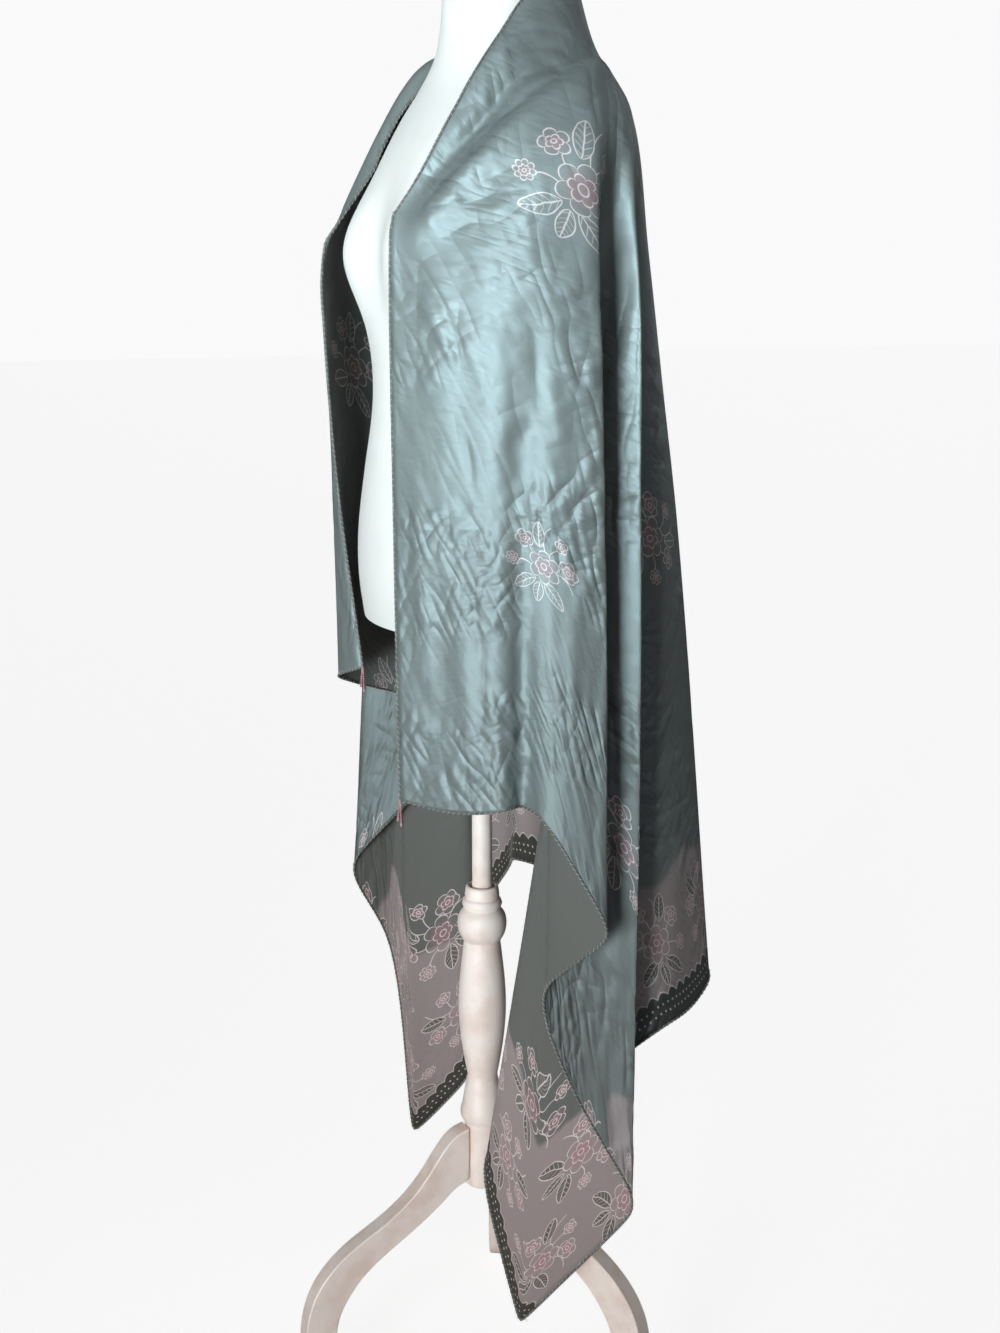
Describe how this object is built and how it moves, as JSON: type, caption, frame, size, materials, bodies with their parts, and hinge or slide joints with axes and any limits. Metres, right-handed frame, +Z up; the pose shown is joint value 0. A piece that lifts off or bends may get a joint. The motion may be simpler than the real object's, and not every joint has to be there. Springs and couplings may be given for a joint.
{
  "type": "silk scarf on a dress form",
  "caption": "Large rectangular silk shawl with flower motifs, worn open over a limbless dress form on a turned tripod stand.",
  "frame": {"origin": "on the floor, below the middle of the whole part's bounding box", "axes": "+Z up, -Y the way the dress form faces, +X towards the form's left shoulder"},
  "size_m": [0.5304, 0.5198, 1.606],
  "materials": {
    "satin": "blue-grey silk satin, glossy on the right side and matt on the wrong side",
    "form_cover": "smooth white stretch cover",
    "stand_paint": "pale pinkish satin paint over turned and sawn wood",
    "beads": "small glossy pink beads"
  },
  "bodies": {
    "root": {"left_front": "satin", "left_cascade": "satin", "back_panel": "satin", "right_cascade": "satin", "right_front": "satin", "dress_form": "form_cover", "pole": "stand_paint", "baluster": "stand_paint", "hub": "stand_paint", "leg_1": "stand_paint", "leg_2": "stand_paint", "leg_3": "stand_paint", "tassel_left": "beads", "tassel_right": "beads"}
  },
  "joints": []
}
